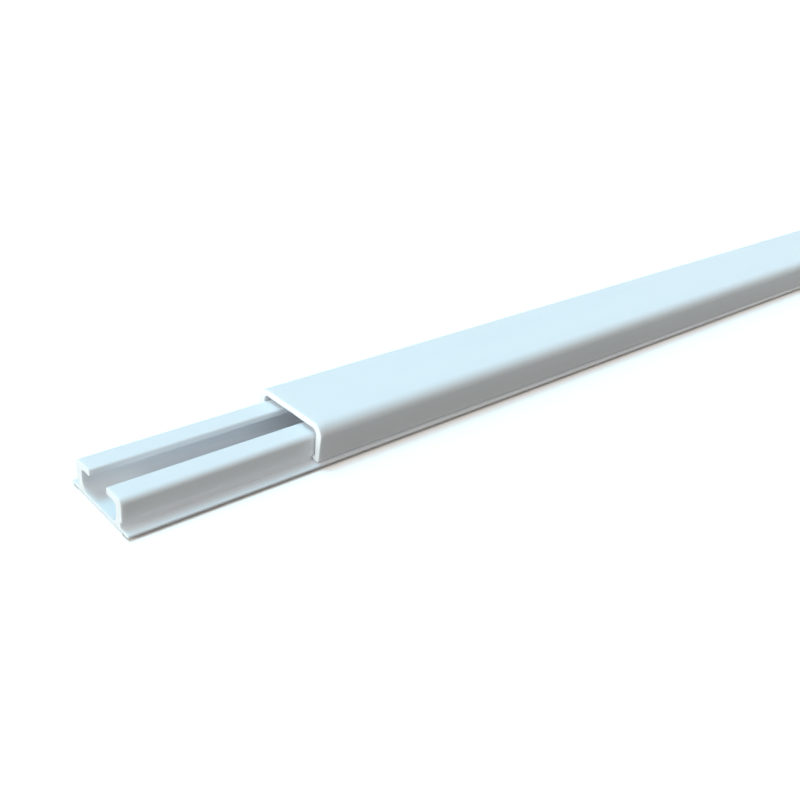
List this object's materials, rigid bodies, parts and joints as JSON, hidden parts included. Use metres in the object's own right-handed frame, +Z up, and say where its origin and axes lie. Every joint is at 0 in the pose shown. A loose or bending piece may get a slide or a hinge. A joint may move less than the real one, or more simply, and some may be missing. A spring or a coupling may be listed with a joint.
{
  "type": "cord cover raceway",
  "caption": "Stick-on cord cover raceway: a slotted base channel with a clip-on cover slid part way back, on adhesive tape with its release liner.",
  "frame": {"origin": "middle of the underside of the release liner, under the middle of the base channel", "axes": "+X along the stock, from the end where the base channel is bare; +Y across it; +Z up, out of the surface that it sticks to"},
  "size_m": [0.442, 0.022, 0.0097],
  "materials": {
    "upvc": "satin white extruded uPVC",
    "tape": "thin tacky double-sided tape",
    "liner": "coated paper, pale blue-white with a faint grey-blue print"
  },
  "bodies": {
    "base": {"base_channel": "upvc", "adhesive_tape": "tape", "release_liner": "liner"},
    "cover": {"cover": "upvc"}
  },
  "joints": [
    {"name": "cover_slide", "type": "slide", "parent": "base", "child": "cover", "axis": [1, 0, 0], "range_m": [-0.042, 0.158]}
  ]
}
